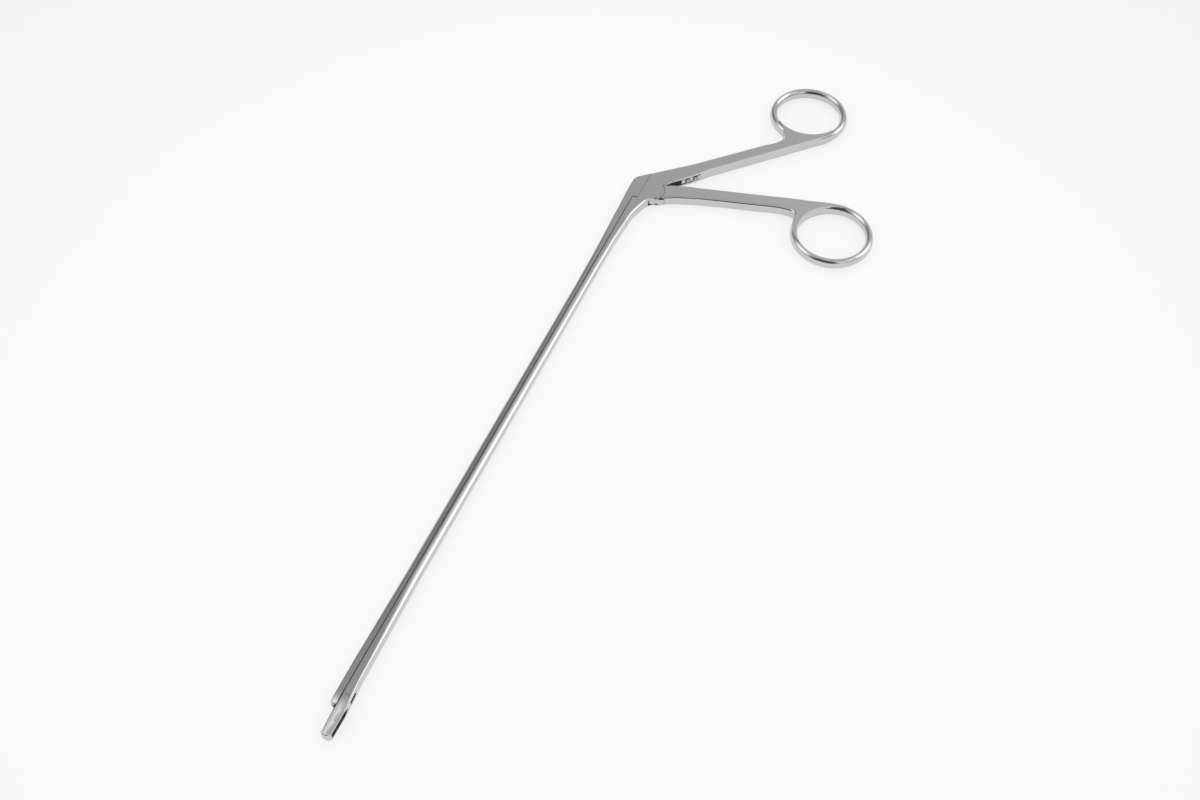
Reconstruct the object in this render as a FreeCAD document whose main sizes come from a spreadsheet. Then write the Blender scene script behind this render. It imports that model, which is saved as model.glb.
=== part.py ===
"""Biopsy forceps with a sliding shaft, ring handles and a basket jaw.

Frame: origin on the handle pivot's axis at the resting face, X towards the tip of the jaws,
Y towards the finger rings, Z through the thickness. Sizes are in millimetres and degrees.
"""
import FreeCAD, Part

import math
import os

import Sketcher

V = FreeCAD.Vector
doc = FreeCAD.newDocument("Forceps")

# Driving sizes
SIZES = {
    "handle_thickness": 4.6,
    "shaft_width": 4.4,
    "cheek_radius": 5.4,
    "shoulder_gap": 0.15,
    "tongue_slot_width": 2.8,
    "tongue_side_gap": 0.05,
    "pivot_diameter": 3.0,
    "running_gap": 0.04,
    "arm_edge_radius": 1.0,
    "ring_radius": 15.1,
    "ring_width": 3.0,
    "ring_height": 4.4,
    "rear_ring_x": -71.0,
    "rear_ring_y": 45.0,
    "front_ring_x": -6.9,
    "front_ring_y": 75.15,
    "seat_y": -3.7,
    "split_y": -5.75,
    "slide_gap": 0.12,
    "step_x": 6.4,
    "step_gap": 0.45,
    "shaft_bottom_y": -3.25,
    "shaft_top_y": -8.5,
    "round_edge": 2.1,
    "slide_edge": 0.4,
    "nose_edge": 0.7,
    "hull_edge": 0.6,
    "basket_edge": 0.3,
    "tip_round": 1.1,
    "basket_crown": 0.36,
    "nose_width": 3.5,
    "nose_length": 5.0,
    "open_angle": 21,
    "closing_angle": 3,
    "lever_height": 5.62,
    "drive_pin_diameter": 1.5,
    "drive_pin_gap": 0.05,
    "slide_slot_width": 2.9,
    "jaw_pivot_x": 240.2,
    "jaw_pivot_y": -4.3,
    "jaw_pivot_diameter": 1.4,
    "jaw_lever": 2.6,
    "jaw_pin_diameter": 1.1,
    "jaw_pin_gap": 0.06,
    "tang_thickness": 1.36,
    "tang_slot_width": 1.5,
    "basket_length": 14.3,
    "basket_wall": 0.65,
    "bite_gap": 0.1,
    "bite_length": 7.9,
    "window_width": 2.6,
    "key_length": 9,
    "key_stem_width": 1.2,
    "key_flange_width": 2.4,
    "key_flange_height": 0.6,
    "key_gap": 0.06,
    "leaf_width": 2.3,
    "leaf_thickness": 0.4,
    "recess_depth": 0.6,
    "screw_spacing": 3.6,
    "screw_head_diameter": 1.8,
    "screw_head_height": 0.35,
    "screw_slot_width": 0.35,
    "screw_diameter": 1.0,
    "screw_length": 2.6,
}
sheet = doc.addObject("Spreadsheet::Sheet", "Sizes")
for row, (alias, value) in enumerate(SIZES.items(), start=1):
    sheet.set("A%d" % row, alias)
    sheet.set("B%d" % row, str(value))
    sheet.setAlias("B%d" % row, alias)
doc.recompute()


def size(alias):
    """Value of a cell of the sheet."""
    return float(sheet.get(alias))


MID_Z = size("handle_thickness") / 2
PIVOT = (0.0, 0.0)
REAR_RING = (size("rear_ring_x"), size("rear_ring_y"))
FRONT_RING = (size("front_ring_x"), size("front_ring_y"))
SPLIT = size("split_y")
SEAT = size("seat_y")
SLIDE_BOTTOM = SPLIT - size("slide_gap")
SLIDE_SEAT = SEAT - size("slide_gap")
SHOULDER = size("cheek_radius") + size("shoulder_gap")
JAW_X = size("jaw_pivot_x")
JAW_Y = size("jaw_pivot_y")
TIP_X = JAW_X + size("basket_length")
NOSE_X = JAW_X + 4.2
PLATE_END = 20.0
ROUND_START = 60.0
ROUND_END = JAW_X - 45
HULL_START = JAW_X - 11
RING_FLATS = 16

# Both levers stand square to the slide at the middle of their travel.
LEVER_TILT = (size("open_angle") - size("closing_angle")) / 2
HALF_SWING = (size("open_angle") + size("closing_angle")) / 2
HALF_TRAVEL = size("lever_height") * math.tan(math.radians(HALF_SWING))
JAW_HALF_SWING = math.degrees(math.asin(HALF_TRAVEL / size("jaw_lever")))
JAW_RATIO = JAW_HALF_SWING / HALF_SWING
JAW_TILT = JAW_HALF_SWING - size("closing_angle") * JAW_RATIO
SLIDE_RATIO = HALF_TRAVEL / math.radians(HALF_SWING)
DRIVE_PIN = (size("lever_height") * math.tan(math.radians(LEVER_TILT)), -size("lever_height"))


def polar(centre, radius, angle):
    a = math.radians(angle)
    return (centre[0] + radius * math.cos(a), centre[1] + radius * math.sin(a))


JAW_PIVOT = (JAW_X, JAW_Y)
JAW_PIN = polar(JAW_PIVOT, size("jaw_lever"), -90 + JAW_TILT)


# Helpers for bodies, sketches and features
def new_body(label):
    body = doc.addObject("PartDesign::Body", label)
    body.Label = label
    return body


def new_sketch(body, name, role="XY_Plane", **offsets):
    """Sketch on an origin plane, moved by bound offsets along the plane's own axes."""
    sketch = body.newObject("Sketcher::SketchObject", name)
    plane = next(f for f in body.Origin.OriginFeatures if f.Role == role)
    sketch.AttachmentSupport = [(plane, "")]
    sketch.MapMode = "FlatFace"
    for axis, expression in offsets.items():
        sketch.setExpression("AttachmentOffset.Base." + axis, expression)
    return sketch


def draw(sketch, start, *steps):
    """Closed outline: a step is an end point, or a middle and an end point of an arc."""
    here = start
    for step in steps + ((start,) if same(steps[-1], start) is False else ()):
        if isinstance(step[0], tuple):
            sketch.addGeometry(Part.ArcOfCircle(V(*here, 0), V(*step[0], 0), V(*step[1], 0)), False)
            here = step[1]
        else:
            sketch.addGeometry(Part.LineSegment(V(*here, 0), V(*step, 0)), False)
            here = step
    join_ends(sketch)
    doc.recompute()


def same(step, point):
    end = step[1] if isinstance(step[0], tuple) else step
    return math.dist(end, point) < 1e-6


def join_ends(sketch):
    """Ties each piece's end to the next piece's end."""
    count = len(sketch.Geometry)
    if count == 2:
        sketch.addConstraint(Sketcher.Constraint("Coincident", 0, 2, 1, 1))
        sketch.addConstraint(Sketcher.Constraint("Coincident", 1, 2, 0, 1))
        return
    for i in range(count):
        j = (i + 1) % count
        pairs = [(a, b) for a in (1, 2) for b in (1, 2)]
        gap = {p: sketch.getPoint(i, p[0]).distanceToPoint(sketch.getPoint(j, p[1])) for p in pairs}
        a, b = min(gap, key=gap.get)
        sketch.addConstraint(Sketcher.Constraint("Coincident", i, a, j, b))


def draw_circle(sketch, centre, diameter):
    index = sketch.addGeometry(Part.Circle(V(*centre, 0), V(0, 0, 1), 1), False)
    place = sketch.addConstraint(Sketcher.Constraint("Diameter", index, 2))
    sketch.setExpression("Constraints[%d]" % place, diameter)
    sketch.addConstraint(Sketcher.Constraint("DistanceX", -1, 1, index, 3, centre[0]))
    sketch.addConstraint(Sketcher.Constraint("DistanceY", -1, 1, index, 3, centre[1]))
    doc.recompute()


def add(body, kind, name, profile, length, **properties):
    """Pad or Pocket of a sketch. It must add to, or cut, the body."""
    before = body.Shape.Volume if body.Tip else 0
    feature = body.newObject("PartDesign::" + kind, name)
    feature.Profile = profile
    for key, value in properties.items():
        setattr(feature, key, value)
    feature.setExpression("Length", length)
    doc.recompute()
    change = body.Shape.Volume - before
    if change * (1 if kind == "Pad" else -1) <= 0:
        raise RuntimeError(name + " changes nothing")
    return feature


def plate(body, name, start, *steps, z="0", thick="Sizes.handle_thickness", kind="Pad"):
    """Outline in XY, added or cut between z and z + thick."""
    sketch = new_sketch(body, name + "_outline", z=z)
    draw(sketch, start, *steps)
    return add(body, kind, name, sketch, thick, Reversed=(kind == "Pocket"))


def middle(width):
    """Bound start height of something that lies about the middle of the thickness."""
    return "(Sizes.handle_thickness - %s) / 2" % width


def bore(body, name, centre, diameter, z, depth):
    sketch = new_sketch(body, name + "_circle", z=z)
    draw_circle(sketch, centre, diameter)
    return add(body, "Pocket", name, sketch, depth, Reversed=True)


def ring(body, name, axis_x, axis_y):
    """Finger ring, revolved about its own upright axis: an oval of narrow flats, polished into each other."""
    sketch = new_sketch(body, name + "_section", "XZ_Plane", x=axis_x, z="-(%s)" % axis_y)
    wide, tall = size("ring_width") / 2, size("ring_height") / 2
    corners = []
    for i in range(RING_FLATS):
        turn = 2 * math.pi * (i + 0.5) / RING_FLATS
        corners.append((size("ring_radius") + wide * math.cos(turn) / math.cos(math.pi / RING_FLATS),
                        MID_Z + tall * math.sin(turn) / math.cos(math.pi / RING_FLATS)))
    draw(sketch, *corners)
    feature = body.newObject("PartDesign::Revolution", name)
    feature.Profile = sketch
    feature.ReferenceAxis = (sketch, ["V_Axis"])
    feature.Angle = 360
    doc.recompute()
    return feature


def edges(body, test):
    """Names of the edges of a body whose points all pass the test."""
    names = []
    for i, edge in enumerate(body.Shape.Edges, start=1):
        first, last = edge.ParameterRange
        points = [edge.valueAt(first + (last - first) * k / 4) for k in range(5)]
        if all(test(p) for p in points):
            names.append("Edge%d" % i)
    return names


def fillet(body, name, names, radius):
    if not names:
        raise RuntimeError(name + " finds no edge")
    base = body.Tip
    feature = body.newObject("PartDesign::Fillet", name)
    feature.Base = (base, names)
    feature.setExpression("Radius", radius)
    doc.recompute()
    return feature


def on_face(p, z):
    return abs(p.z - z) < 1e-4


def bar_section(body, name, x, flat_y, far_y, edge, width, inset=0.0):
    """Section of a shaft bar across X: flat side at flat_y, rounded corners at far_y."""
    sketch = new_sketch(body, name, "YZ_Plane", z=str(x))
    low = MID_Z - width / 2 + inset
    high = MID_Z + width / 2 - inset
    out = 1 if far_y > flat_y else -1
    far = far_y - out * inset
    turn = edge * (1 - math.sqrt(0.5))
    draw(sketch, (flat_y, low), (far - out * edge, low),
         ((far - out * turn, low + turn), (far, low + edge)),
         (far, high - edge),
         ((far - out * turn, high - turn), (far - out * edge, high)),
         (flat_y, high))
    return sketch


def loft(body, name, sections, straight=False):
    feature = body.newObject("PartDesign::AdditiveLoft", name)
    feature.Profile = sections[0]
    feature.Sections = sections[1:]
    feature.Ruled = straight
    doc.recompute()
    return feature


def shaft_bar(body, name, flat_y, far_y, start_far, start_edge, end_far, end_edge, end_x):
    """Long bar: it grows round from the plate's end, runs round, and turns flat at the front."""
    full = size("round_edge")
    sag = start_far - far_y
    stock, width = size("handle_thickness"), size("shaft_width")
    rear = [(PLATE_END, start_far, start_edge, stock, 0.03),
            (PLATE_END + 0.25 * (ROUND_START - PLATE_END), far_y + 0.3 * sag,
             start_edge + 0.35 * (full - start_edge), (2 * stock + width) / 3, 0),
            (PLATE_END + 0.55 * (ROUND_START - PLATE_END), far_y,
             start_edge + 0.7 * (full - start_edge), (stock + 4 * width) / 5, 0),
            (ROUND_START, far_y, full, width, 0)]
    loft(body, name + "_rear", [bar_section(body, "%s_rear_%d" % (name, i), x, flat_y, far, edge, wide, inset)
                                for i, (x, far, edge, wide, inset) in enumerate(rear)], straight=True)
    straight = bar_section(body, name + "_section", ROUND_START, flat_y, far_y, full, width)
    add(body, "Pad", name + "_round", straight, str(ROUND_END - ROUND_START))
    front = [(ROUND_END, far_y, full),
             ((ROUND_END + HULL_START) / 2, far_y + 0.35 * (end_far - far_y), (full + end_edge) / 2),
             (HULL_START, far_y + 0.7 * (end_far - far_y), end_edge),
             (end_x, end_far, end_edge)]
    loft(body, name + "_front", [bar_section(body, "%s_front_%d" % (name, i), x, flat_y, far, edge, width)
                                 for i, (x, far, edge) in enumerate(front)], straight=True)


def arm_point(along, out):
    """Point of the fixed arm's inner side: distance along the arm from the pivot's foot, and out of it."""
    root = math.sqrt(0.5)
    return ((out - along) * root, (out + along) * root)


# Lines of the fixed arm, which leans at 45 degrees
ARM_FACE = -1.556
RECESS_FLOOR = ARM_FACE - size("recess_depth")
RECESS_START = 12.6
SCREWS = [17.15, 17.15 + size("screw_spacing")]
RECESS_END = SCREWS[-1] + 2.2


# The handles' flat faces run to this far inside the middle circle of a ring.
RIM_LAND = 0.25 - size("ring_width") / 2


def ring_side(ring_centre, angle, radius_change=0.0):
    return polar(ring_centre, size("ring_radius") + radius_change, angle)


def tangent_step(start, heading, end):
    """Arc step that leaves start at a heading in degrees, and its heading at the end."""
    chord = math.degrees(math.atan2(end[1] - start[1], end[0] - start[0]))
    turn = math.radians(chord - heading)
    bulge = math.dist(start, end) / 2 * math.tan(turn / 2)
    side = math.radians(chord)
    middle_point = ((start[0] + end[0]) / 2 + bulge * math.sin(side),
                    (start[1] + end[1]) / 2 - bulge * math.cos(side))
    return (middle_point, end), 2 * chord - heading


def shaft_underside():
    """Steps of the body's underside, from the cheek to the plate's end: one smooth curve."""
    here, heading = (3.95, 2.6), -60
    steps = [here]
    for point in ((7.3, -0.15), (PLATE_END - 8, -1.63), (PLATE_END, -2.72)):
        step, heading = tangent_step(here, heading, point)
        steps.append(step)
        here = point
    return steps


def fixed_frame():
    body = new_body("fixed_frame")
    ax, ay = REAR_RING
    cheek = size("cheek_radius")
    lip = (ax + 20.6, ay - 4.9)
    vertex = (ax + 19.2, ay - 4.75)
    step_x = size("step_x")
    body.AllowCompound = True
    basket_hull(body)
    plate(body, "handle_plate",
          (PLATE_END, SPLIT), (step_x, SPLIT), (step_x, SEAT), (-8.8, SEAT),
          (-21.1, 10.7), (lip[0] + 6.2, lip[1] - 5.6),
          ((lip[0] + 2.6, lip[1] - 1.6), lip),
          ((lip[0] - 0.8, lip[1] + 0.35), vertex),
          (ring_side(REAR_RING, -25, 0.75), ring_side(REAR_RING, -47, -0.75)),
          (ring_side(REAR_RING, 18, RIM_LAND), ring_side(REAR_RING, 83, -0.2)),
          (ring_side(REAR_RING, 62, 0.5), ring_side(REAR_RING, 46, 0.93)),
          arm_point(27.5, -2.37), arm_point(18.3, ARM_FACE), arm_point(9.8, ARM_FACE),
          polar(PIVOT, cheek, 143), (polar(PIVOT, cheek, 95), polar(PIVOT, cheek, 47)),
          *shaft_underside())
    under = size("seat_y")
    names = edges(body, lambda p: (on_face(p, 0) or on_face(p, 2 * MID_Z)) and p.x > 3.4
                  and p.y > under and p.x <= PLATE_END + 1e-4)
    fillet(body, "underside_edges", names, "Sizes.arm_edge_radius")
    shaft_bar(body, "lower_bar", SPLIT, size("shaft_bottom_y"), -2.72, size("arm_edge_radius"),
              -2.98, size("hull_edge") + 0.05, JAW_X - 5)
    ring(body, "rear_ring", "Sizes.rear_ring_x", "Sizes.rear_ring_y")
    tongue_slot(body)
    basket_cuts(body)
    key_grooves(body)
    spring_seat(body)
    bore(body, "pivot_bore", PIVOT, "Sizes.pivot_diameter", "0", "Sizes.handle_thickness")
    bore(body, "jaw_pivot_bore", JAW_PIVOT, "Sizes.jaw_pivot_diameter",
         "-Sizes.handle_thickness", "3 * Sizes.handle_thickness")
    return body


def hull_section(body, name, x, far_y, edge, crown):
    """Section of the lower jaw: crowned sides that lean in at the rim, and small corners at the keel."""
    sketch = new_sketch(body, name, "YZ_Plane", z=str(x))
    half = size("shaft_width") / 2
    turn = edge * (1 - math.sqrt(0.5))
    rim, keel, waist = half - crown, half - 0.6 * crown, (SPLIT + far_y - edge) / 2
    draw(sketch, (SPLIT, MID_Z - rim), ((waist, MID_Z - half), (far_y - edge, MID_Z - keel)),
         ((far_y - turn, MID_Z - keel + turn), (far_y, MID_Z - keel + edge)),
         (far_y, MID_Z + keel - edge),
         ((far_y - turn, MID_Z + keel - turn), (far_y - edge, MID_Z + keel)),
         ((waist, MID_Z + half), (SPLIT, MID_Z + rim)))
    return sketch


def basket_hull(body):
    """Lower jaw: a boat shape that deepens below the shaft, crowned at its sides and cut slanting at the tip."""
    crown, edge = size("basket_crown"), size("basket_edge")
    full_edge = size("hull_edge")
    stations = [(JAW_X - 5, -2.95, full_edge, 0.01),
                (JAW_X - 1, -2.68, 0.8 * full_edge + 0.2 * edge, 0.15 * crown),
                (JAW_X + 3.5, -2.44, 0.3 * full_edge + 0.7 * edge, 0.75 * crown),
                (JAW_X + 8, -2.4, edge, crown),
                (TIP_X, -2.44, edge, crown)]
    loft(body, "basket_loft", [hull_section(body, "basket_%d" % i, *station)
                               for i, station in enumerate(stations)])
    plate(body, "tip_trim",
          (JAW_X + 4.9, SPLIT), (TIP_X - 0.1, -5.15), (TIP_X - 0.05, -4.3),
          ((TIP_X - 0.55, -3.15), (TIP_X - 2.1, -2.2)), (TIP_X + 1, -2.2), (TIP_X + 1, SPLIT - 1),
          (JAW_X + 4.9, SPLIT - 1), kind="Pocket")
    sketch = new_sketch(body, "tip_corners_outline", "XZ_Plane", z="-2")
    end, half, round_ = TIP_X - 0.06, size("shaft_width") / 2, size("tip_round")
    turn = round_ * (1 - math.sqrt(0.5))
    draw(sketch, (end - round_, MID_Z - half),
         ((end - turn, MID_Z - half + turn), (end, MID_Z - half + round_)),
         (end, MID_Z + half - round_),
         ((end - turn, MID_Z + half - turn), (end - round_, MID_Z + half)),
         (end - round_, MID_Z + half + 1), (end + 2, MID_Z + half + 1),
         (end + 2, MID_Z - half - 1), (end - round_, MID_Z - half - 1))
    add(body, "Pocket", "tip_corners", sketch, "10", Reversed=True)


def tongue_slot(body):
    """Slot between the cheeks for the moving handle's tongue and the spring's end."""
    sweep = SHOULDER + 0.05
    plate(body, "tongue_slot",
          (-5.7, SEAT - 1), (-5.7, -0.6), (-7.4, 1.7), arm_point(RECESS_START, RECESS_FLOOR),
          arm_point(RECESS_START, 3), (0, 14), (8, 9), polar(PIVOT, sweep, 44),
          (polar(PIVOT, sweep, 5), polar(PIVOT, sweep, -38)), (polar(PIVOT, sweep, -38)[0], SEAT - 1),
          z=middle("Sizes.tongue_slot_width"), thick="Sizes.tongue_slot_width", kind="Pocket")


def spring_seat(body):
    """Recess of the leaf spring with its two screw holes."""
    plate(body, "spring_recess",
          arm_point(RECESS_START - 0.5, RECESS_FLOOR), arm_point(RECESS_END, RECESS_FLOOR),
          arm_point(RECESS_END, 1), arm_point(RECESS_START - 0.5, 1),
          z=middle("Sizes.tongue_slot_width"), thick="Sizes.tongue_slot_width", kind="Pocket")


def basket_cuts(body):
    """Slot of the jaw's tang, the bite's bed and the window under it."""
    floor = -3.0
    plate(body, "tang_slot",
          (JAW_X - 2.05, SPLIT - 1), (JAW_X - 2.05, 0), (JAW_X + 0.9, 0), (JAW_X + 1.5, floor),
          (JAW_X + 5.5, floor), (JAW_X + 5.5, SPLIT - 1),
          z=middle("Sizes.tang_slot_width"), thick="Sizes.tang_slot_width", kind="Pocket")
    bed = "(Sizes.shaft_width - 2 * Sizes.basket_wall)"
    plate(body, "bite_bed",
          (JAW_X + 4.6, SPLIT - 1), (JAW_X + 4.6, floor), (TIP_X - 0.9, floor), (TIP_X - 0.9, SPLIT - 1),
          z=middle(bed), thick=bed, kind="Pocket")
    sketch = new_sketch(body, "window_outline", "XZ_Plane", z="-2")
    half = size("window_width") / 2
    draw(sketch, (JAW_X + 3.1, MID_Z), ((JAW_X + 4.6, MID_Z + 0.8 * half), (JAW_X + 6.8, MID_Z + half)),
         (TIP_X - 1.9, MID_Z + half), ((TIP_X - 1.5, MID_Z + half - 0.12), (TIP_X - 1.35, MID_Z + half - 0.5)),
         (TIP_X - 1.35, MID_Z - half + 0.5),
         ((TIP_X - 1.5, MID_Z - half + 0.12), (TIP_X - 1.9, MID_Z - half)),
         (JAW_X + 6.8, MID_Z - half), ((JAW_X + 4.6, MID_Z - 0.8 * half), (JAW_X + 3.1, MID_Z)))
    add(body, "Pocket", "window", sketch, str(2 - floor + 0.5), Reversed=True)


KEYS = [("rear_key", 24.0), ("front_key", JAW_X - 22)]


def key_grooves(body):
    """T grooves that hold the slide down on the shaft."""
    travel = 2 * HALF_TRAVEL + 0.6
    for name, x in KEYS:
        ends = (x - travel, x + size("key_length") + 0.6)
        depth = size("key_flange_height") + 3 * size("key_gap")
        for part, width, top, bottom in (
                ("stem", "(Sizes.key_stem_width + 2 * Sizes.key_gap)", SPLIT - 0.5, SPLIT + 0.55),
                ("flange", "(Sizes.key_flange_width + 2 * Sizes.key_gap)", SPLIT + 0.5, SPLIT + 0.5 + depth)):
            plate(body, "%s_%s_groove" % (name, part),
                  (ends[0], top), (ends[1], top), (ends[1], bottom), (ends[0], bottom),
                  z=middle(width), thick=width, kind="Pocket")
        width = "(Sizes.key_flange_width + 2 * Sizes.key_gap)"
        entry = (ends[0] - size("key_length") - 0.3, ends[0])
        plate(body, name + "_entry",
              (entry[0], SPLIT - 0.5), (entry[1], SPLIT - 0.5),
              (entry[1], SPLIT + 0.5 + depth), (entry[0], SPLIT + 0.5 + depth),
              z=middle(width), thick=width, kind="Pocket")


def moving_handle():
    body = new_body("moving_handle")
    bx, by = FRONT_RING
    here, heading = (bx - 4.9, by - 19.5), -90
    front = []
    for point in ((bx - 3.8, by - 27.4), (-6.74, 32.75), (-0.2, 10.9)):
        step, heading = tangent_step(here, heading, point)
        front.append(step)
        here = point
    start = (bx - 4.9, by - 19.5)
    curl, _ = tangent_step(start, 90, ring_side(FRONT_RING, 262, 1.6))
    plate(body, "arm_plate",
          polar(PIVOT, SHOULDER, 138), ((-5.9, 7.3), (-7.1, 11.1)), ((-8.0, 14.1), (-8.65, 17.1)),
          (-16.0, 46.1), ((bx - 11.0, by - 22.0), (bx - 13.0, by - 12.9)),
          ((bx - 14.6, by - 7.3), ring_side(FRONT_RING, 181, 0.6)),
          (ring_side(FRONT_RING, 172, 0.4), ring_side(FRONT_RING, 163, -0.1)),
          (ring_side(FRONT_RING, 239, RIM_LAND), ring_side(FRONT_RING, 316, -0.1)),
          (ring_side(FRONT_RING, 287, 0.8), ring_side(FRONT_RING, 262, 1.6)),
          (curl[0], start), *front,
          (2.3, 5.9), polar(PIVOT, SHOULDER, 62),
          (polar(PIVOT, SHOULDER, 98), polar(PIVOT, SHOULDER, 138)))
    names = edges(body, lambda p: (on_face(p, 0) or on_face(p, 2 * MID_Z))
                  and p.x > front_line(p.y) and math.dist((p.x, p.y), PIVOT) > SHOULDER - 0.01)
    fillet(body, "front_edges", names, "Sizes.arm_edge_radius")
    ring(body, "front_ring", "Sizes.front_ring_x", "Sizes.front_ring_y")
    tongue(body)
    return body


def front_line(y):
    """X of the moving arm's middle line at y, below its ring."""
    if y > FRONT_RING[1] - 18.6:
        return 1000
    return -3.6 * (y - 8) / 8 * 0.9 - 1 if y < 8 else -1.9 - 0.262 * (y - 8)


def tongue(body):
    """Tongue with the lever that drives the slide; it turns about the pivot pin."""
    thick = "(Sizes.tongue_slot_width - 2 * Sizes.tongue_side_gap)"
    disc = size("cheek_radius") - 0.15
    front = size("cheek_radius") - 0.7
    slot = size("drive_pin_diameter") + 2 * size("drive_pin_gap")
    tilt = -90 + LEVER_TILT
    end = -SPLIT + 1.45

    def lever(radius, across):
        x, y = polar(PIVOT, radius, tilt)
        side = math.radians(tilt + 90)
        return (x + across * math.cos(side), y + across * math.sin(side))

    half = slot / 2 + 0.75
    plate(body, "tongue",
          lever(end - 0.5, -half), (lever(end - 0.1, -half + 0.15), lever(end, -half + 0.6)),
          lever(end, half - 0.6), (lever(end - 0.1, half - 0.15), lever(end - 0.5, half)),
          lever(3, half), polar(PIVOT, front, -20),
          (polar(PIVOT, front, 10), polar(PIVOT, front, 40)),
          polar(PIVOT, SHOULDER + 1.2, 66), (polar(PIVOT, SHOULDER + 1.2, 98), polar(PIVOT, SHOULDER + 1.2, 130)),
          polar(PIVOT, disc, 150), (polar(PIVOT, disc, 180), polar(PIVOT, disc, 210)), lever(3, -half),
          z=middle(thick), thick=thick)
    bottom = size("lever_height") - 0.9
    plate(body, "pin_notch",
          lever(end + 1, -slot / 2), lever(end + 1, slot / 2), lever(bottom, slot / 2),
          (lever(bottom - slot / 2, 0), lever(bottom, -slot / 2)),
          z=middle(thick), thick=thick, kind="Pocket")
    bore(body, "tongue_bore", PIVOT, "Sizes.pivot_diameter + 2 * Sizes.running_gap",
         "0", "Sizes.handle_thickness")


def slide_bar():
    body = new_body("slide_bar")
    step = size("step_x") - size("step_gap")
    here = (-5.75, -7.75)
    heading = math.degrees(math.atan2(-7.75 + 4.2, -5.75 + 8.9))
    top = [here]
    for point in ((-2.3, -9.33), (9, -9.1), (PLATE_END, -8.72)):
        step_made, heading = tangent_step(here, heading, point)
        top.append(step_made)
        here = point
    plate(body, "rear_block",
          (PLATE_END, SLIDE_BOTTOM), (step, SLIDE_BOTTOM), (step, SLIDE_SEAT), (-8.9, SLIDE_SEAT),
          (-8.9, -4.2), *top)
    names = edges(body, lambda p: (on_face(p, 0) or on_face(p, 2 * MID_Z)) and p.y < -4.19
                  and (p.y < SLIDE_BOTTOM - 0.01 or p.x < 0))
    fillet(body, "rear_top_edges", names, "Sizes.slide_edge")
    shaft_bar(body, "upper_bar", SLIDE_BOTTOM, size("shaft_top_y"), -8.76, size("slide_edge"),
              -8.25, size("nose_edge"), NOSE_X - size("nose_length"))
    slide_nose(body)
    slide_slots(body)
    for name, x in KEYS:
        slide_key(body, name, x)
    bore(body, "drive_pin_bore", DRIVE_PIN, "Sizes.drive_pin_diameter",
         middle("Sizes.shaft_width"), "Sizes.shaft_width * 0.86")
    return body


def slide_nose(body):
    """Front end of the slide: it narrows like a blunt bullet."""
    long, width = size("nose_length"), size("shaft_width")
    narrow = width - size("nose_width")
    edge = size("nose_edge")
    stations = [(0, -8.25, width), (0.4, -8.24, width - 0.04 * narrow), (0.75, -8.18, width - 0.35 * narrow),
                (1, -8.0, width - narrow)]
    loft(body, "nose", [bar_section(body, "nose_%d" % i, NOSE_X - long * (1 - along), SLIDE_BOTTOM, far, edge, wide)
                        for i, (along, far, wide) in enumerate(stations)])
    names = edges(body, lambda p: abs(p.x - NOSE_X) < 1e-4 and p.y < SLIDE_BOTTOM - 0.05)
    fillet(body, "nose_edges", names, "Sizes.nose_edge * 0.55")


def slide_key(body, name, x):
    """T key under the slide."""
    end = x + size("key_length")
    low = SPLIT + 0.5 + size("key_gap")
    plate(body, name + "_stem",
          (x, SLIDE_BOTTOM - 0.3), (end, SLIDE_BOTTOM - 0.3), (end, low + 0.1), (x, low + 0.1),
          z=middle("Sizes.key_stem_width"), thick="Sizes.key_stem_width")
    plate(body, name + "_flange",
          (x, low), (end, low), (end, low + size("key_flange_height")), (x, low + size("key_flange_height")),
          z=middle("Sizes.key_flange_width"), thick="Sizes.key_flange_width")


def slide_slots(body):
    """Room for the tongue's lever at the rear and for the jaw's tang at the nose."""
    reach = HALF_TRAVEL * 0.5
    half = size("drive_pin_diameter") / 2 + size("drive_pin_gap") + 0.75
    x0 = DRIVE_PIN[0] - half - 0.65
    x1 = DRIVE_PIN[0] + half + 0.65
    top = SPLIT - 1.45 - 0.35
    plate(body, "lever_slot",
          (x0, SEAT + 1), (x0, top + 0.6), ((x0 + 0.18, top + 0.18), (x0 + 0.6, top)),
          (x1 - 0.6, top), ((x1 - 0.18, top + 0.18), (x1, top + 0.6)), (x1, SEAT + 1),
          z=middle("Sizes.slide_slot_width"), thick="Sizes.slide_slot_width", kind="Pocket")
    rear = JAW_X - 1.35 - reach * 0.2
    plate(body, "fork_slot",
          (rear, SLIDE_BOTTOM + 1), (rear, -7.2), (rear + 1.6, -9.5), (NOSE_X + 1, -9.5),
          (NOSE_X + 1, SLIDE_BOTTOM + 1),
          z=middle("Sizes.tang_slot_width"), thick="Sizes.tang_slot_width", kind="Pocket")
    radius = size("jaw_pin_diameter") / 2 + size("jaw_pin_gap")
    high = JAW_Y - size("jaw_lever")
    low = JAW_Y - size("jaw_lever") * math.cos(math.radians(JAW_HALF_SWING))
    x = JAW_PIN[0]
    length = "(Sizes.shaft_width * 0.72)"
    plate(body, "pin_slot",
          (x - radius, low), (x - radius, high), ((x, high - radius), (x + radius, high)),
          (x + radius, low), ((x, low + radius), (x - radius, low)),
          z=middle(length), thick=length, kind="Pocket")


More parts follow.
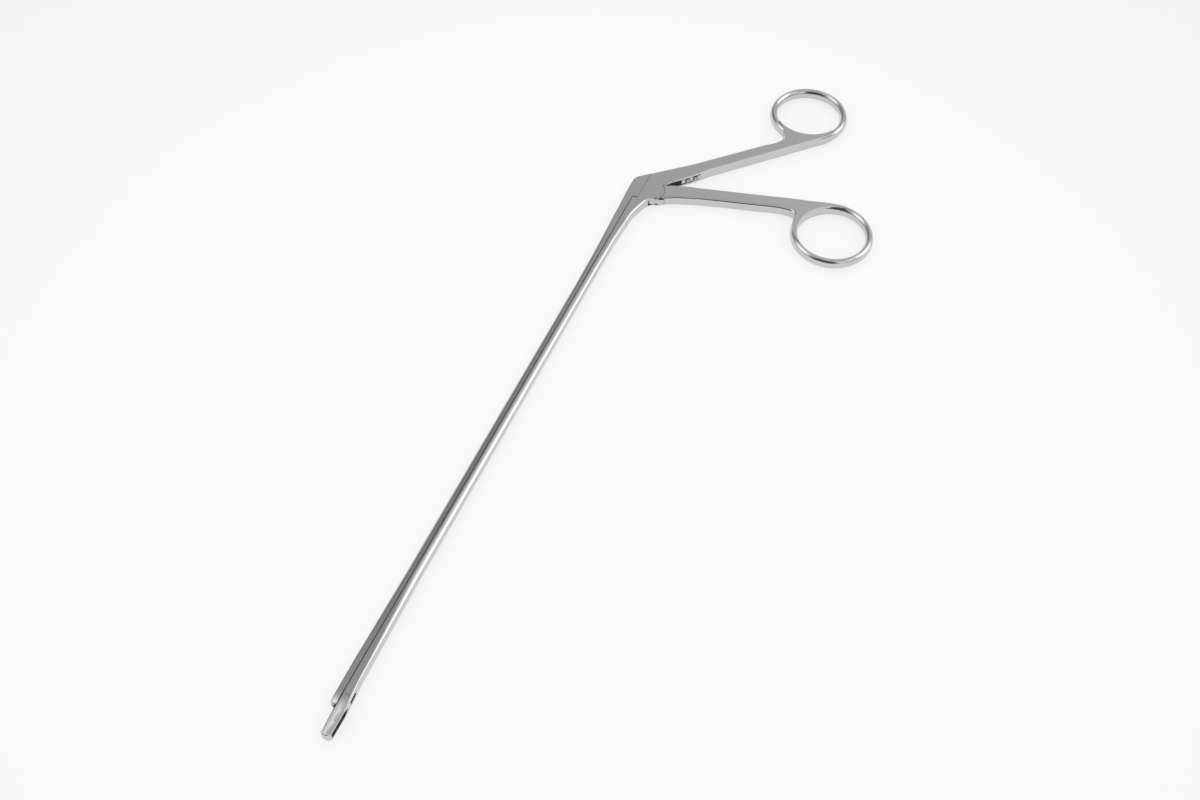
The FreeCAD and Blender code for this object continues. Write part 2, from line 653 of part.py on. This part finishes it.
def upper_jaw():
    body = new_body("upper_jaw")
    width = "(Sizes.shaft_width - 2 * (Sizes.basket_wall + Sizes.bite_gap))"
    rear = JAW_X + 5.05
    tip = rear + size("bite_length")
    top, bottom = -6.85, -5.3
    plate(body, "bite",
          (rear, bottom), (rear, top + 0.3), ((rear + 0.09, top + 0.09), (rear + 0.3, top)),
          (tip - 0.35, top), ((tip - 0.1, top + 0.1), (tip, top + 0.35)), (tip, bottom),
          z=middle(width), thick=width)
    tang_r, pin_r = 1.15, size("jaw_pin_diameter") / 2 + 0.42
    plate(body, "tang",
          polar(JAW_PIVOT, tang_r, 200), (polar(JAW_PIVOT, tang_r, 110), polar(JAW_PIVOT, tang_r, 30)),
          (rear + 0.4, bottom - 0.05), (rear + 0.4, top + 0.2),
          (rear - 1.2, top), polar(JAW_PIN, pin_r, -70),
          (polar(JAW_PIN, pin_r, -120), polar(JAW_PIN, pin_r, 190)),
          z=middle("Sizes.tang_thickness"), thick="Sizes.tang_thickness")
    bore(body, "tang_bore", JAW_PIVOT, "Sizes.jaw_pivot_diameter + 2 * Sizes.running_gap",
         "0", "Sizes.handle_thickness")
    bore(body, "tang_pin_bore", JAW_PIN, "Sizes.jaw_pin_diameter", "0", "Sizes.handle_thickness")
    return body


def pin(label, centre, diameter, z, length):
    body = new_body(label)
    sketch = new_sketch(body, label + "_circle", z=z)
    draw_circle(sketch, centre, diameter)
    add(body, "Pad", label + "_pad", sketch, length)
    return body


def leaf_spring():
    """Flat leaf on the recess's floor that bends down to the tongue's heel."""
    body = new_body("leaf_spring")
    thick = size("leaf_thickness")
    plate(body, "leaf",
          arm_point(RECESS_END - 0.15, RECESS_FLOOR), arm_point(RECESS_END - 0.15, RECESS_FLOOR + thick),
          arm_point(RECESS_START - 0.2, RECESS_FLOOR + thick), (-6.15, 1.95), (-6.5, 1.75),
          arm_point(RECESS_START - 0.1, RECESS_FLOOR),
          z=middle("Sizes.leaf_width"), thick="Sizes.leaf_width")
    for i, along in enumerate(SCREWS):
        hole = new_sketch(body, "screw_hole_%d" % i, "XY_Plane")
        place_along_arm(hole, along, RECESS_FLOOR - 0.5)
        draw_circle(hole, (0, 0), "Sizes.screw_diameter + 0.1")
        add(body, "Pocket", "screw_hole_cut_%d" % i, hole, "2", Reversed=True)
    return body


def place_along_arm(sketch, along, out):
    """Turns a sketch's plane square to the fixed arm's inner face."""
    x, y = arm_point(along, out)
    turn = FreeCAD.Rotation(V(0, 0, 1), V(1, 1, 0))
    sketch.AttachmentOffset = FreeCAD.Placement(V(x, y, MID_Z), turn)


def spring_screws():
    """Two slotted screws in one piece list: shank into the arm, low head on the leaf."""
    shapes = []
    along_arm = V(*arm_point(1, 0), 0)
    out = V(*arm_point(0, 1), 0)
    for along in SCREWS:
        seat = V(*arm_point(along, RECESS_FLOOR + size("leaf_thickness")), MID_Z)
        head = Part.makeCylinder(size("screw_head_diameter") / 2, size("screw_head_height"), seat, out)
        shank = Part.makeCylinder(size("screw_diameter") / 2, size("screw_length") + 0.1,
                                  seat + out * 0.1, out * -1)
        width = size("screw_slot_width")
        slot = Part.makeBox(3, width, size("screw_head_height"))
        slot.Placement = FreeCAD.Placement(
            seat + out * (size("screw_head_height") * 0.5) - along_arm * 1.5 - V(0, 0, width / 2),
            FreeCAD.Rotation(along_arm, V(0, 0, 1), out, "XZY"))
        shapes.append(head.fuse(shank).cut(slot))
    feature = doc.addObject("Part::Feature", "spring_screws")
    feature.Label = "spring_screws"
    feature.Shape = Part.makeCompound(shapes)
    feature.Placement = FreeCAD.Placement()
    return feature


def screw_holes(body):
    """Blind holes in the arm under the leaf."""
    for i, along in enumerate(SCREWS):
        hole = new_sketch(body, "arm_hole_%d" % i, "XY_Plane")
        place_along_arm(hole, along, RECESS_FLOOR + 0.2)
        draw_circle(hole, (0, 0), "Sizes.screw_diameter")
        add(body, "Pocket", "arm_hole_cut_%d" % i, hole,
            "Sizes.screw_length - Sizes.leaf_thickness + 0.4", Reversed=False)


# Sub-parts
frame = fixed_frame()
screw_holes(frame)
parts = [
    frame,
    moving_handle(),
    slide_bar(),
    upper_jaw(),
    pin("handle_pivot_pin", PIVOT, "Sizes.pivot_diameter", "0", "Sizes.handle_thickness"),
    pin("slide_drive_pin", DRIVE_PIN, "Sizes.drive_pin_diameter",
        middle("Sizes.shaft_width"), "Sizes.shaft_width * 0.86"),
    pin("jaw_pivot_pin", JAW_PIVOT, "Sizes.jaw_pivot_diameter",
        middle("Sizes.shaft_width"), "Sizes.shaft_width"),
    pin("jaw_drive_pin", JAW_PIN, "Sizes.jaw_pin_diameter",
        middle("(Sizes.shaft_width * 0.7)"), "Sizes.shaft_width * 0.7"),
    leaf_spring(),
    spring_screws(),
]
doc.recompute()

for made in doc.Objects:
    if "Invalid" in made.State or "Error" in made.State:
        raise RuntimeError(made.Label + " failed")
for made in parts:
    if made.Shape.isNull() or not made.Shape.isValid():
        raise RuntimeError(made.Label + " has no valid shape")
    solids = len(made.Shape.Solids)
    if solids != (len(SCREWS) if made.Label == "spring_screws" else 1):
        raise RuntimeError("%s has %d solids" % (made.Label, solids))

os.makedirs("parts", exist_ok=True)
for made in parts:
    made.Shape.exportStep("parts/%s.step" % made.Label)
print("handle %.3f..%.3f deg" % (-size("closing_angle"), size("open_angle")))
print("slide ratio %.5f mm/rad, jaw ratio %.5f" % (SLIDE_RATIO, JAW_RATIO))
print("drive pin (%.3f, %.3f), jaw pin (%.3f, %.3f)" % (DRIVE_PIN + JAW_PIN))
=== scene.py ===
import math

import bpy
from mathutils import Matrix, Vector

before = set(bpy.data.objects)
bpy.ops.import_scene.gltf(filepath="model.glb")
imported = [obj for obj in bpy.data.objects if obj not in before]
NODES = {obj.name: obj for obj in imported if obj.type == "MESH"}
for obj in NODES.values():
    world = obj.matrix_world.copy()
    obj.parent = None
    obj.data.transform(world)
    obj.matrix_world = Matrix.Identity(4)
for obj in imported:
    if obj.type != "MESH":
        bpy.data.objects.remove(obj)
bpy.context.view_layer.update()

# All lengths are in metres and all tints are linear reflectances

# Tints of the ground steel, its upright walls lighter as painted light, and the roughness of its upright
# walls
GREY = (0.595, 0.594, 0.575)
LIT_WALL_TINT = (0.625, 0.615, 0.595)
WALL_ROUGH = 0.27

# Noises, each with its cells per metre, detail and roughness: grinding lines, whose stretch is given for
# along and across them, soft clouds and fine speckle
LINE_STRETCH = (90, 2600, 2600)
LINE_NOISE = (1.0, 4.0, 0.6)
CLOUD_NOISE = (120.0, 3.0, 0.5)
SPECKLE_NOISE = (1300.0, 3.0, 0.65)

# How far the noises sway the roughness and the tone, and the relief of the grinding lines
GRIND_ROUGH, CLOUD_ROUGH, SPECKLE_ROUGH = 0.10, 0.06, 0.06
GRIND_TONE, SPECKLE_TONE = 0.06, 0.08
RELIEF_STRENGTH = 0.14
RELIEF_DEPTH = 0.000006

# Upright part of the normal at which a face starts to be a flat or a wall, and at which it wholly is one
FLAT_NORMAL = (0.9, 0.995)
WALL_NORMAL = (0.4, 0.06)

# Painted shade in crevices: reach of the occlusion, open shares at which the darkening starts and is full,
# and its strength.
# It comes in over a lift above the table, which would otherwise darken every lower edge.
CREVICE_REACH = 0.0007
CREVICE_OPEN = (0.97, 0.74)
CREVICE_DARK = 0.95
CREVICE_LIFT = (0.0005, 0.0012)
OCCLUSION_SAMPLES = 8

# Painted shade along the line where the two bars meet: its Y, half widths where it ends and where it is full,
# and its start in X
SPLIT_Y = -0.00581
SPLIT_HALF = (0.00027, 0.00008)
SPLIT_DARK = 0.75
SPLIT_START = (0.0066, 0.0072)

# Direction along the rear arm, and the share of light left where painted shade darkens the spring near the
# pivot, standing in for the shadow of the deep slot it dives into
ARM_WAY = (-0.7071, 0.7071, 0.0)
SPRING_SHADE_LIGHT = 0.05

# Lean of the normals toward the tip, and the stretch of X over which the flats lose the lean of their own
TIP_LEAN = 0.16
TIP_EVEN = (0.2285, 0.2295)


# Shader node helpers
def new_node(tree, kind, **values):
    node = tree.nodes.new(kind)
    for key, value in values.items():
        setattr(node, key, value)
    return node


def math_node(tree, operation, a, b=None, c=None, clamp=False):
    """Result of a math node whose operands are sockets or numbers."""
    node = new_node(tree, "ShaderNodeMath", operation=operation, use_clamp=clamp)
    for socket, value in zip(node.inputs, (a, b, c)):
        if value is None:
            continue
        if isinstance(value, bpy.types.NodeSocket):
            tree.links.new(value, socket)
        else:
            socket.default_value = value
    return node.outputs[0]


def multiply(tree, a, b):
    return math_node(tree, "MULTIPLY", a, b)


def rest_of(tree, share):
    """What a share leaves of 1."""
    return math_node(tree, "SUBTRACT", 1.0, share)


def sway(tree, pattern, amount, middle):
    """A 0 to 1 pattern brought to a spread of amount about a middle value."""
    return math_node(tree, "MULTIPLY_ADD", pattern, amount, middle - amount / 2)


def ramp(tree, value, low, high, out_low=0.0, out_high=1.0):
    node = new_node(tree, "ShaderNodeMapRange", interpolation_type="SMOOTHSTEP")
    tree.links.new(value, node.inputs["Value"])
    for name, number in (("From Min", low), ("From Max", high), ("To Min", out_low), ("To Max", out_high)):
        node.inputs[name].default_value = number
    return node.outputs["Result"]


def noise(tree, vector, scale, detail, roughness):
    node = new_node(tree, "ShaderNodeTexNoise")
    for name, value in (("Scale", scale), ("Detail", detail), ("Roughness", roughness)):
        node.inputs[name].default_value = value
    tree.links.new(vector, node.inputs["Vector"])
    return node.outputs["Fac"]


def parts(tree, vector):
    """X, Y and Z of a vector, as sockets by name."""
    node = new_node(tree, "ShaderNodeSeparateXYZ")
    tree.links.new(vector, node.inputs[0])
    return node.outputs


def dot_product(tree, vector, way):
    node = new_node(tree, "ShaderNodeVectorMath", operation="DOT_PRODUCT")
    tree.links.new(vector, node.inputs[0])
    node.inputs[1].default_value = way
    return node.outputs["Value"]


# Steel
def grinding(tree, place, angle):
    """Fine lines at an angle in degrees about Z, counted from X."""
    lines = new_node(tree, "ShaderNodeMapping")
    lines.inputs["Rotation"].default_value = (0, 0, -math.radians(angle))
    lines.inputs["Scale"].default_value = LINE_STRETCH
    tree.links.new(place, lines.inputs["Vector"])
    return noise(tree, lines.outputs[0], *LINE_NOISE)


def painted_crevice_shade(tree, spot):
    """Share of light left in crevices by the painted shade."""
    shade = new_node(tree, "ShaderNodeAmbientOcclusion", samples=OCCLUSION_SAMPLES)
    shade.inputs["Distance"].default_value = CREVICE_REACH
    lost = ramp(tree, shade.outputs["AO"], *CREVICE_OPEN, 0.0, CREVICE_DARK)
    return rest_of(tree, multiply(tree, lost, ramp(tree, spot["Z"], *CREVICE_LIFT)))


def painted_split_shade(tree, spot):
    """Share of light left along the line where the two bars meet, under painted shade."""
    across = math_node(tree, "ABSOLUTE", math_node(tree, "SUBTRACT", spot["Y"], SPLIT_Y))
    lost = ramp(tree, across, *SPLIT_HALF, 0.0, SPLIT_DARK)
    return rest_of(tree, multiply(tree, lost, ramp(tree, spot["X"], *SPLIT_START)))


def leaning_normal(tree, facing, flat, spot, slope):
    """Normal that leans toward the tip over the stretch slope of X, as the real basket's sides do."""
    even = multiply(tree, flat, ramp(tree, spot["X"], *TIP_EVEN))
    ahead = multiply(tree, facing["X"], rest_of(tree, even))
    ahead = math_node(tree, "ADD", ahead, ramp(tree, spot["X"], *slope, 0.0, TIP_LEAN))
    lean = new_node(tree, "ShaderNodeCombineXYZ")
    for axis, value in zip("XYZ", (ahead, facing["Y"], facing["Z"])):
        tree.links.new(value, lean.inputs[axis])
    unit = new_node(tree, "ShaderNodeVectorMath", operation="NORMALIZE")
    tree.links.new(lean.outputs[0], unit.inputs[0])
    return unit.outputs[0]


def steel(name, tint, flat_rough, edge_rough, angle, side=LIT_WALL_TINT, split_shade=False, slope=None, ends=None):
    """Steel with grinding lines at an angle in degrees, duller on the flats than on rounded edges.

    side tints the upright walls, by default a lighter copy of the steel that paints light on them; groove
    paints shade along the line where the bars meet; slope is the stretch of X in which the normals start to
    lean; and ends is the stretch along the arm over which the painted shade on the spring fades out.
    """
    material = bpy.data.materials.new(name)
    material.use_nodes = True
    tree = material.node_tree
    tree.nodes.clear()
    out = new_node(tree, "ShaderNodeOutputMaterial")
    shader = new_node(tree, "ShaderNodeBsdfPrincipled")
    tree.links.new(shader.outputs[0], out.inputs[0])
    shader.inputs["Metallic"].default_value = 1.0

    place = new_node(tree, "ShaderNodeTexCoord").outputs["Object"]
    spot = parts(tree, place)
    facing = parts(tree, new_node(tree, "ShaderNodeNewGeometry").outputs["Normal"])
    upright = math_node(tree, "ABSOLUTE", facing["Z"])
    flat = ramp(tree, upright, *FLAT_NORMAL)
    wall = ramp(tree, upright, *WALL_NORMAL)
    grind = grinding(tree, place, angle)
    cloud = noise(tree, place, *CLOUD_NOISE)
    speckle = noise(tree, place, *SPECKLE_NOISE)

    mix = new_node(tree, "ShaderNodeMix", data_type="FLOAT")
    tree.links.new(flat, mix.inputs[0])
    tree.links.new(math_node(tree, "MULTIPLY_ADD", wall, WALL_ROUGH - edge_rough, edge_rough), mix.inputs[2])
    mix.inputs[3].default_value = flat_rough
    rough = mix.outputs[0]
    for pattern, amount in ((grind, GRIND_ROUGH), (cloud, CLOUD_ROUGH), (speckle, SPECKLE_ROUGH)):
        rough = math_node(tree, "ADD", rough, sway(tree, pattern, amount, 0.0), clamp=True)
    tree.links.new(rough, shader.inputs["Roughness"])

    # Upright walls take the side tint, by default a lighter copy of the steel: painted light on them
    body = new_node(tree, "ShaderNodeMix", data_type="RGBA")
    tree.links.new(wall, body.inputs["Factor"])
    body.inputs["A"].default_value = (*tint, 1)
    body.inputs["B"].default_value = (*side, 1)
    tone = multiply(tree, sway(tree, grind, GRIND_TONE, 1.0), sway(tree, speckle, SPECKLE_TONE, 1.0))
    # Painted shade in crevices
    tone = multiply(tree, tone, painted_crevice_shade(tree, spot))
    # Painted shade along the line where the bars meet
    if split_shade:
        tone = multiply(tree, tone, painted_split_shade(tree, spot))
    # Painted shade on the spring near the pivot, where it dives into the deep slot
    if ends:
        along = dot_product(tree, place, ARM_WAY)
        tone = multiply(tree, tone, ramp(tree, along, *ends, SPRING_SHADE_LIGHT, 1.0))
    colour = new_node(tree, "ShaderNodeVectorMath", operation="SCALE")
    tree.links.new(body.outputs["Result"], colour.inputs[0])
    tree.links.new(tone, colour.inputs["Scale"])
    tree.links.new(colour.outputs[0], shader.inputs["Base Color"])

    bump = new_node(tree, "ShaderNodeBump")
    bump.inputs["Strength"].default_value = RELIEF_STRENGTH
    bump.inputs["Distance"].default_value = RELIEF_DEPTH
    tree.links.new(grind, bump.inputs["Height"])
    if slope:
        tree.links.new(leaning_normal(tree, facing, flat, spot, slope), bump.inputs["Normal"])
    tree.links.new(bump.outputs[0], shader.inputs["Normal"])
    return material


MATERIALS = {
    "fixed_frame": steel("satin_frame", GREY, 0.31, 0.11, 0, split_shade=True, slope=(0.2395, 0.2465)),
    "moving_handle": steel("satin_handle", (0.63, 0.629, 0.612), 0.32, 0.11, 106),
    "slide_bar": steel("satin_slide", (0.585, 0.584, 0.566), 0.29, 0.12, 0, split_shade=True),
    "upper_jaw": steel("jaw_satin", (0.66, 0.66, 0.65), 0.22, 0.14, 0, slope=(0.2395, 0.2425)),
    "handle_pivot_pin": steel("pin_ground", GREY, 0.29, 0.2, 30),
    "jaw_pivot_pin": steel("jaw_pin_ground", GREY, 0.26, 0.2, 0),
    "leaf_spring": steel("spring_blue_grey", (0.42, 0.42, 0.43), 0.3, 0.28, 135,
                         side=(0.62, 0.61, 0.59), ends=(0.0142, 0.0148)),
    "spring_screws": steel("screw_grey", (0.5, 0.5, 0.5), 0.28, 0.25, 0, side=(0.55, 0.55, 0.54)),
}
MATERIALS["slide_drive_pin"] = MATERIALS["handle_pivot_pin"]
MATERIALS["jaw_drive_pin"] = MATERIALS["jaw_pivot_pin"]

# Broken edges: width of the bevel and its number of segments, for the pieces that have one
BREAKS = {
    "fixed_frame": (0.00014, 2),
    "moving_handle": (0.0004, 1),
    "slide_bar": (0.0002, 2),
    "upper_jaw": (0.00012, 2),
    "leaf_spring": (0.00006, 2),
    "spring_screws": (0.00008, 2),
}
BREAK_ANGLE = 35
WELD_DISTANCE = 0.000001
FACE_WEIGHT = 80


def dress(node, name):
    """Give a CAD piece its material, its broken edges and even normals on its flats."""
    node.data.materials.clear()
    node.data.materials.append(MATERIALS[name])
    weld = node.modifiers.new("join", "WELD")
    weld.merge_threshold = WELD_DISTANCE
    if name in BREAKS:
        bevel = node.modifiers.new("break", "BEVEL")
        bevel.width, bevel.segments = BREAKS[name]
        bevel.mark_sharp = True
        bevel.limit_method = "ANGLE"
        bevel.angle_limit = math.radians(BREAK_ANGLE)
        even = node.modifiers.new("even", "WEIGHTED_NORMAL")
        even.weight = FACE_WEIGHT
        even.keep_sharp = True


for name, node in NODES.items():
    dress(node, name)


# Floor: near-white paper that keeps a faint shadow; seen by the camera and mirrored by the steel, it partly
# glows, painted light that lifts its white and fades that shadow
FLOOR_REACH = 6.0
FLOOR_DROP = 0.00002
PAPER_NOISE = (3.0, 2.0, 0.5)
PAPER_TONE, PAPER_SWAY = 0.9, 0.01
PAPER_ROUGH, PAPER_SHINE = 0.9, 0.1
PAPER_GLOW = 0.7
GLOW_TINT = (0.998, 1.0, 1.0, 1)
PHOTO_MIDDLE = (0.103, 0.022, 0.0)
# The glow is a painted pool of light, strongest about the middle and weaker outward
# Distances from the photo's middle over which the glow weakens, and its strength before and after
GLOW_FADE = (0.12, 0.4, 1.0, 0.9)


def make_floor():
    mesh = bpy.data.meshes.new("floor")
    r = FLOOR_REACH
    mesh.from_pydata([(-r, -r, 0), (r, -r, 0), (r, r, 0), (-r, r, 0)], [], [(0, 1, 2, 3)])
    floor = bpy.data.objects.new("floor", mesh)
    floor.location.z = -FLOOR_DROP
    bpy.context.scene.collection.objects.link(floor)
    material = bpy.data.materials.new("floor_white")
    material.use_nodes = True
    tree = material.node_tree
    shader = tree.nodes["Principled BSDF"]
    place = new_node(tree, "ShaderNodeTexCoord").outputs["Object"]
    tone = sway(tree, noise(tree, place, *PAPER_NOISE), PAPER_SWAY, PAPER_TONE)
    combine = new_node(tree, "ShaderNodeCombineColor")
    for channel in combine.inputs:
        tree.links.new(tone, channel)
    tree.links.new(combine.outputs[0], shader.inputs["Base Color"])
    shader.inputs["Roughness"].default_value = PAPER_ROUGH
    shader.inputs["Specular IOR Level"].default_value = PAPER_SHINE

    away = new_node(tree, "ShaderNodeVectorMath", operation="DISTANCE")
    tree.links.new(place, away.inputs[0])
    away.inputs[1].default_value = PHOTO_MIDDLE
    glow = new_node(tree, "ShaderNodeEmission")
    glow.inputs["Color"].default_value = GLOW_TINT
    tree.links.new(ramp(tree, away.outputs["Value"], *GLOW_FADE), glow.inputs["Strength"])
    path = new_node(tree, "ShaderNodeLightPath")
    seen = math_node(tree, "MAXIMUM", path.outputs["Is Camera Ray"], path.outputs["Is Glossy Ray"])
    seen = math_node(tree, "MAXIMUM", seen, path.outputs["Is Transmission Ray"])
    mix = new_node(tree, "ShaderNodeMixShader")
    tree.links.new(multiply(tree, seen, PAPER_GLOW), mix.inputs[0])
    tree.links.new(shader.outputs[0], mix.inputs[1])
    tree.links.new(glow.outputs[0], mix.inputs[2])
    tree.links.new(mix.outputs[0], tree.nodes["Material Output"].inputs["Surface"])
    mesh.materials.append(material)


make_floor()

# Studio: an even white room for the floor, and softboxes and dark cards that only the steel mirrors
ROOM_TINT = (0.99, 0.998, 1.0, 1)
MIRRORED_TINT = (0.985, 0.995, 1.0, 1)
MIRRORED_LEVEL = 0.63
MIRRORED_DARKEST = 0.03

# Bearing from X and height in degrees, full and faded-out half angles, and brightness added
LIGHTS = (
    (118, 28, 9, 31, 1.3),
    (150, 62, 5, 18, 0.3),
    (-65, 33, 7, 25, 0.9),
    (46, 26, 5, 16, 0.6),
    (-82, 69, 7, 16, 1.0),
    (100, 80, 4, 12, -0.36),
    (76, 37, 4, 13, 0.7),
    (3, 18, 22, 44, -0.54),
    (-120, 24, 14, 32, -0.34),
    (-136, 61, 8, 23, -0.42),
)


def lobe(tree, direction, bearing, height, inner, outer, strength):
    """Soft patch of light, or of dark where the strength is negative, about one direction of the room."""
    turn, rise = math.radians(bearing), math.radians(height)
    centre = (math.cos(rise) * math.cos(turn), math.cos(rise) * math.sin(turn), math.sin(rise))
    edge, full = math.cos(math.radians(outer)), math.cos(math.radians(inner))
    return ramp(tree, dot_product(tree, direction, centre), edge, full, 0, strength)


def make_world():
    world = bpy.data.worlds.new("studio")
    bpy.context.scene.world = world
    world.use_nodes = True
    tree = world.node_tree
    tree.nodes.clear()
    out = new_node(tree, "ShaderNodeOutputWorld")
    direction = new_node(tree, "ShaderNodeTexCoord").outputs["Generated"]
    total = MIRRORED_LEVEL
    for light in LIGHTS:
        total = math_node(tree, "ADD", total, lobe(tree, direction, *light))
    mirrored = new_node(tree, "ShaderNodeBackground")
    tree.links.new(math_node(tree, "MAXIMUM", total, MIRRORED_DARKEST), mirrored.inputs["Strength"])
    mirrored.inputs["Color"].default_value = MIRRORED_TINT
    even = new_node(tree, "ShaderNodeBackground")
    even.inputs["Color"].default_value = ROOM_TINT
    even.inputs["Strength"].default_value = 1.0
    path = new_node(tree, "ShaderNodeLightPath")
    mix = new_node(tree, "ShaderNodeMixShader")
    tree.links.new(path.outputs["Is Glossy Ray"], mix.inputs[0])
    tree.links.new(even.outputs[0], mix.inputs[1])
    tree.links.new(mirrored.outputs[0], mix.inputs[2])
    tree.links.new(mix.outputs[0], out.inputs[0])


make_world()

# Camera at the photograph's angle: place, axes, lens and sensor in millimetres, and clipping distances
CAMERA_PLACE = (0.34973373, 0.12796957, 0.36950295)
CAMERA_RIGHT = (-0.39646352, 0.91805048, 0.0)
CAMERA_FORWARD = (-0.53961653, -0.23303541, -0.80901699)
CAMERA_LENS, CAMERA_SENSOR = 37.5, 36
CAMERA_CLIP = (0.01, 20)


def make_camera():
    data = bpy.data.cameras.new("camera")
    data.lens, data.sensor_width = CAMERA_LENS, CAMERA_SENSOR
    data.clip_start, data.clip_end = CAMERA_CLIP
    camera = bpy.data.objects.new("camera", data)
    right, forward = Vector(CAMERA_RIGHT), Vector(CAMERA_FORWARD)
    up = right.cross(forward)
    turn = Matrix((right, up, -forward)).transposed()
    camera.matrix_world = Matrix.Translation(CAMERA_PLACE) @ turn.to_4x4()
    bpy.context.scene.collection.objects.link(camera)
    bpy.context.scene.camera = camera


make_camera()

scene = bpy.context.scene
scene.view_settings.view_transform = "Standard"
